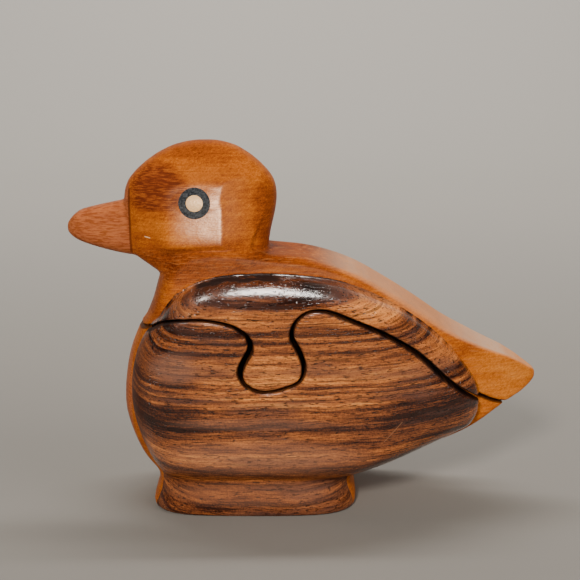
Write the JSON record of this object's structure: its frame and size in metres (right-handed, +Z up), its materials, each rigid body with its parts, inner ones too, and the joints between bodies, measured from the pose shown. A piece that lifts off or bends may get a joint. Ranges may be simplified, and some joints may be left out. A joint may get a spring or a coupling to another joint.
{
  "type": "duck-shaped wooden box",
  "caption": "Carved wooden duck box: a laminated duck whose back and head are a jigsaw-cut lid that slides out sideways over a hollow body on a flared foot.",
  "frame": {"origin": "middle of the foot's underside", "axes": "+Z up, +X towards the tail, -X towards the bill; the duck's left side faces -Y"},
  "size_m": [0.1459, 0.0522, 0.1133],
  "materials": {
    "center_wood": "gloss lacquer over orange-brown, close-grained wood",
    "side_wood": "gloss lacquer over dark striped rosewood",
    "eye_ring_wood": "gloss lacquer over dark slate-grey wood",
    "eye_center_wood": "gloss lacquer over pale wood"
  },
  "bodies": {
    "base": {"base_center_board": "center_wood", "base_left_board": "side_wood", "base_right_board": "side_wood"},
    "lid": {"lid_center_board": "center_wood", "lid_left_board": "side_wood", "lid_right_board": "side_wood", "left_eye_ring": "eye_ring_wood", "left_eye_center": "eye_center_wood", "right_eye_ring": "eye_ring_wood", "right_eye_center": "eye_center_wood"}
  },
  "joints": [
    {"name": "lid_slide", "type": "slide", "parent": "base", "child": "lid", "axis": [0, 1, 0], "range_m": [-0.048, 0.048]}
  ]
}
